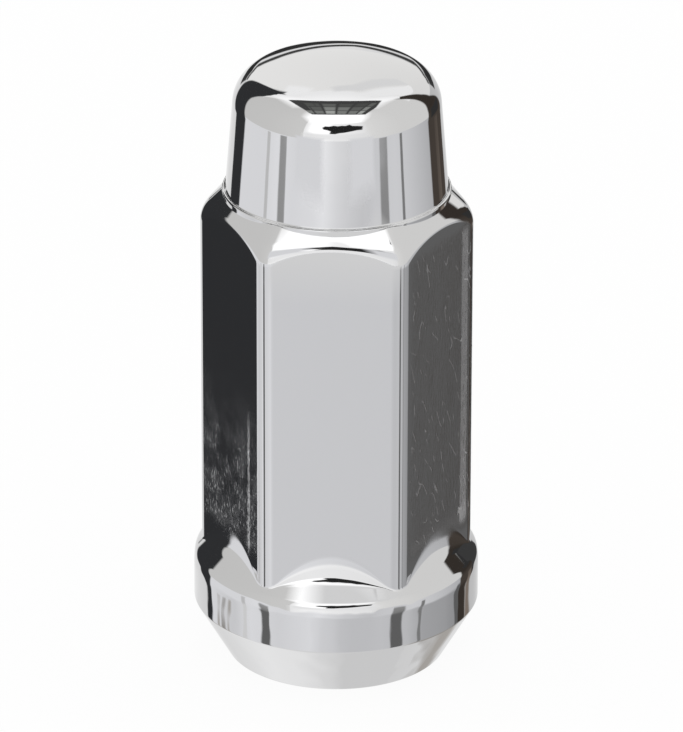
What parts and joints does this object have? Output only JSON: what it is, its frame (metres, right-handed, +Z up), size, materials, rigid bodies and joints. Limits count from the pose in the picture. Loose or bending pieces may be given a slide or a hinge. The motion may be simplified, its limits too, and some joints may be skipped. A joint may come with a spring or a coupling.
{
  "type": "lug nut",
  "caption": "Long closed-end lug nut with a hexagon, a domed cap, a bulge skirt and a conical seat round its blind threaded bore.",
  "frame": {"origin": "centre of the nut's seat end, on the surface it stands on", "axes": "+Z up the nut's axis from the seat end to the domed cap; one flat of the hexagon faces -Y"},
  "size_m": [0.0228, 0.0228, 0.0508],
  "materials": {
    "chrome_plate": "bright plated, with fine handling marks on the flats"
  },
  "bodies": {
    "root": {"lug_nut": "chrome_plate"}
  },
  "joints": []
}
